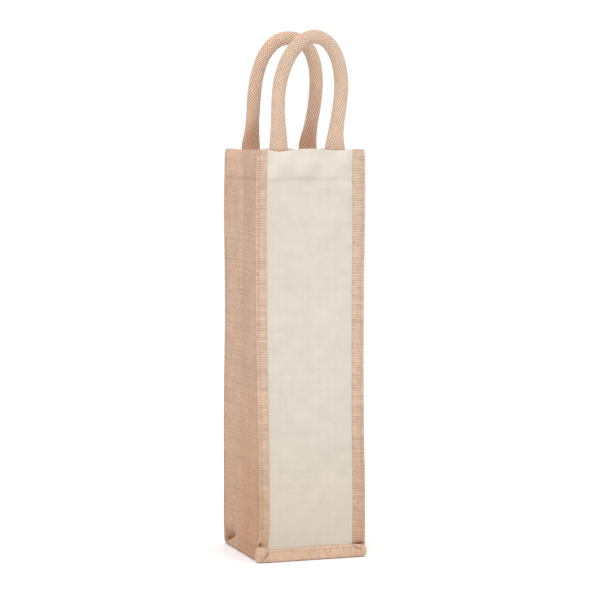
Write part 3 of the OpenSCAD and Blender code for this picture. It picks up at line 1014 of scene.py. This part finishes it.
def braid_relief(p, q):
    """How high the strand on top lies, at places counted in strands along both ways."""
    wave_p, wave_q = np.sin(math.pi * p), np.sin(math.pi * q)
    over = smooth(wave_p * wave_q, -0.3, 0.3)
    first = np.abs(wave_p) * (0.6 + 0.4 * np.abs(wave_q))
    second = np.abs(wave_q) * (0.6 + 0.4 * np.abs(wave_p))
    return second + (first - second) * over - 0.75


def sleeve_painted_shading(face, at, height):
    """Painted light and shade along a sleeve: the front one darker towards its top, the back one
    lighter at its feet and darker higher up on the leg that it starts with.
    """
    if face == "front":
        return -0.5 * smooth(height, 35, 75)
    foot = 0.35 * (1 - smooth(height, -2, 14))
    return foot - 0.4 * smooth(height, 20, 60) * smooth(at[-1] / 2 - at, -15, 15)


def sleeve(face, material, number):
    """A braided tube, flat where it is sewn behind the hem and round above it."""
    line, at = handle_line(face, TAB_BOTTOM, DIAMOND / 7)
    ends = np.minimum(at, at[-1] - at)
    height = line[:, 1] - HINGE_Z
    wide, thick, k = (row[:, None] for row in sleeve_radii(face, at, ends, height, number))
    phi = np.linspace(0, 2 * math.pi, 6 * STRANDS, endpoint=False)[None]
    round_it = STRANDS * phi / (2 * math.pi)
    along = at[:, None] / DIAMOND
    wobble = 0.12 * lumps(at[:, None], 6 * np.cos(phi), 5, number + 2)
    p, q = round_it + along + wobble, round_it - along + wobble
    relief = (0.2 + 0.3 * k) * braid_relief(p, q)
    # Painted shade: the braid warmer and darker towards its feet, only slightly on the front handle.
    warm_tone_and_shade = (1 - smooth(height, -4, 50)) ** 1.5 * (0.12 if face == "front" else 1.0)
    tone_and_painted_shading = layers(0 * phi, warm_tone_and_shade[:, None], sleeve_painted_shading(face, at, height)[:, None])
    name = f"{face}_handle_sleeve"
    piece = loop_tube(name + "_braid", face, line, wide + relief, thick + relief,
                      layers(p, q, number), tone_and_painted_shading, [STRANDS, STRANDS, 0], material, None)
    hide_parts(name, f"{face}_handle_left_tab", f"{face}_handle_right_tab")
    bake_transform(piece)
    return piece


def rope(face, material, number):
    """The three-strand filling inside a handle's sleeve."""
    line, at = handle_line(face, HINGE_Z + 22.5, 1.6)
    phi = np.linspace(0, 2 * math.pi, 30, endpoint=False)[None]
    lobes = np.abs(np.cos(1.5 * phi - at[:, None] / 3.2))
    ends = np.sqrt(np.clip(np.minimum(at, at[-1] - at) / 3, 0.05, 1))[:, None]
    radius = (3.3 + 0.8 * lobes) * ends
    cloth = layers(phi * 4, at[:, None], number)
    name = f"{face}_handle_core"
    piece = loop_tube(name + "_rope", face, line, radius, radius,
                      cloth, 0 * cloth, [8 * math.pi, 0, 0], material, f"{face}_handle")
    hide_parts(name)
    return piece


# --- thread
def row_starts(start, end):
    """Where the stitches of a centred row begin."""
    count = int((end - start - STITCH) // STITCH_PITCH) + 1
    used = (count - 1) * STITCH_PITCH + STITCH
    return (start + end - used) / 2 + STITCH_PITCH * np.arange(count)


def front_depth(x):
    """Depth of a face's outer side, borders and canvas."""
    ridge = curve_through(RIDGE, 3)
    on_border = -np.interp(np.abs(x), ridge[:, 0], ridge[:, 1])
    inside = (x > WINDOW_LEFT) & (x < WINDOW_RIGHT)
    return np.where(inside, CANVAS_DEPTH + window_depth(x), on_border)


# A stitch comes up through the cloth, lies on it and goes down again
T = np.linspace(0, 1, 9)
STITCH_LIFT = THREAD * (1.0 - 2.4 * np.abs(2 * T - 1) ** 5)


def face_stitch(x0, z0, x1, z1, face):
    """The path of one stitch on a face, from and to places seen from the face's outside."""
    x, z = x0 + (x1 - x0) * T, z0 + (z1 - z0) * T
    return on_face(x, front_depth(x) - STITCH_LIFT, z, face)


def side_stitch(y0, z0, y1, side):
    """The path of one level stitch on a side."""
    y, z = y0 + (y1 - y0) * T, z0 + 0 * T
    x = side * (HALF_W - side_in(y, z, side) + STITCH_LIFT)
    return np.stack([x, y, z], -1)


def rim_stitch(x0, z0, x1, face):
    """The path of one level stitch on the bottom strip."""
    x, z = x0 + (x1 - x0) * T, z0 + 0 * T
    out = RIM_PROUD - 0.05 + rim_swell(x, z, RIM_LOBES[face]) + STITCH_LIFT
    return turned(np.stack([x, -HALF_D - out, z], -1), face)


def stitch_rings(path, phi):
    """The points round one stitch, thinner towards both ends."""
    way = unit(np.gradient(path, axis=0))
    beside = unit(np.cross(way, unit(path[len(T) // 2] * [1, 1, 0])))
    up = np.cross(beside, way)
    r = THREAD * np.sqrt(np.clip(1 - np.abs(2 * T - 1) ** 4, 0.1, 1))[:, None, None]
    circle = np.cos(phi)[:, None] * beside[:, None] + np.sin(phi)[:, None] * up[:, None]
    return path[:, None] + r * circle


def thread_piece(name, node, paths, material, number):
    """Short lengths of thread, each a thin tube that tapers into the cloth at both ends. On the
    jute beside the canvas the thread is the jute's own tone."""
    sides = 6
    phi = np.linspace(0, 2 * math.pi, sides, endpoint=False)
    points, faces, cloth = [], [], []
    for count, path in enumerate(paths):
        quads, caps = tube_faces(len(T), sides, count * len(T) * sides)
        faces += quads.tolist() + caps
        points.append(stitch_rings(path, phi).reshape(-1, 3))
        cloth.append(layers(phi * 0.3, T[:, None] * STITCH, number).reshape(-1, 3))
    cloth, points = np.vstack(cloth), np.vstack(points)
    on_jute = (np.abs(points[:, 1]) < HALF_D - 2) | (np.abs(points[:, 0]) > WINDOW_RIGHT)
    tone_and_painted_shading = layers(0, on_jute, 0)
    piece = new_piece(name, points, faces, {"cloth": cloth, "tone_and_painted_shading": tone_and_painted_shading}, material)
    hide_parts(node)
    return piece


def upright_paths(x, face):
    """A row of upright stitches from the bottom strip to the mouth."""
    low = RIM_H + 3
    starts = np.arange(low, BAG_H - 4 - STITCH, STITCH_PITCH)
    return [face_stitch(x, z, x, z + STITCH, face) for z in starts]


def level_paths(start, end, z, face):
    """A row of level stitches on a face."""
    return [face_stitch(x, z, x + STITCH, z, face) for x in row_starts(start, end)]


def hem_paths():
    """The stitch line round the mouth: on both faces, and then on both sides."""
    rows = ((-HALF_W + 2, WINDOW_LEFT - 2), (WINDOW_LEFT + 1, WINDOW_RIGHT - 1),
            (WINDOW_RIGHT + 2, HALF_W - 2))
    paths = []
    for face in ("front", "back"):
        for start, end in rows:
            paths += level_paths(start, end, STITCH_Z, face)
    for side in (-1, 1):
        for y in row_starts(-HALF_D + 3, HALF_D - 3):
            paths.append(side_stitch(y, STITCH_Z, y + STITCH, side))
    return paths


def tack_paths(x, face):
    """Three short rows that hold a handle's end, above the stitch line."""
    half = TAB_W / 2
    rows = (level_paths(x - half, x + half, STITCH_Z + i * 1.4, face) for i in (1, 2, 3))
    return sum(rows, [])


def make_thread(tan, cream):
    """Every row of stitches on the bag."""
    thread_piece("hem_thread", "hem_stitching", hem_paths(), cream, 50)
    for number, face in enumerate(("front", "back")):
        paths = upright_paths(WINDOW_LEFT - 1.5, face) + upright_paths(WINDOW_RIGHT + 1.5, face)
        thread_piece(f"{face}_border_thread", f"{face}_border_stitching", paths, tan, 51 + number)
        paths = [rim_stitch(x, RIM_H - 2.5, x + STITCH, face)
                 for x in row_starts(-HALF_W + 2, HALF_W - 2)]
        thread_piece(f"{face}_bottom_thread", f"{face}_bottom_stitching", paths, tan, 53 + number)
        flip = 1 if face == "front" else -1
        for side, label in ((-1, "left"), (1, "right")):
            corner = f"{face}_{label}_corner"
            paths = upright_paths(flip * side * GROOVE, face)
            thread_piece(corner + "_thread", corner + "_stitching", paths, tan, 55 + number)
            node = f"{face}_handle_{label}_tack"
            foot = flip * middle_x(f"{face}_handle_{label}_tab")
            thread_piece(node + "_thread", node, tack_paths(foot, face), cream, 57 + number)


# --- build
make_camera()
make_stage()

# Each cloth's last colour is its warmer tone, mostly painted shade towards the base.
jute = woven("jute_cloth", (190, 158, 134), (154, 118, 92), (1.6, 1.85), 0.28, 0.24, 0.32,
             (180, 135, 101))
jute_light = woven("jute_border", (197, 171, 149), (154, 120, 95), (1.9, 1.9), 0.3, 0.26, 0.23,
                   (184, 148, 119), rib=0.33, patch=0.17, warp_share=0.35)
canvas_white = woven("canvas_cloth", (200, 193, 182), (184, 174, 161), (0.9, 0.9), 0.07, 0.12, 0.1,
                     (192, 179, 163), sheen=0.05)
jute_rim = woven("jute_rim", (194, 166, 143), (164, 131, 106), (1.7, 1.7), 0.2, 0.5, 0.17,
                 (184, 148, 119), patch=0.3)
# Each braid's last colour is the painted shade towards its feet; the back one's is redder.
webbing = {
    "front": braided("front_handle_braid", (212, 187, 166), (172, 138, 113), (204, 168, 140)),
    "back": braided("back_handle_braid", (217, 189, 166), (154, 111, 87), (228, 181, 153)),
}
tan_thread = twisted("tan_thread", (194, 166, 142), (160, 130, 104), 0.8, 0.05, (184, 152, 126))
cream_thread = twisted("cream_thread", (206, 198, 186), (176, 150, 126), 0.8, 0.05, (180, 148, 122))
cotton = twisted("cotton_rope", (214, 208, 196), (180, 172, 158), 2.2, 0.2, (214, 208, 196))

gusset(jute, 1)
for number, face in enumerate(("front", "back")):
    base = 10 * (number + 1)
    canvas(face, canvas_white, base)
    border(face, "left", jute_light, base + 1)
    border(face, "right", jute_light, base + 2)
    rim(face, jute_rim, base + 3)
    sleeve(face, webbing[face], base + 4)
    rope(face, cotton, base + 5)
make_thread(tan_thread, cream_thread)
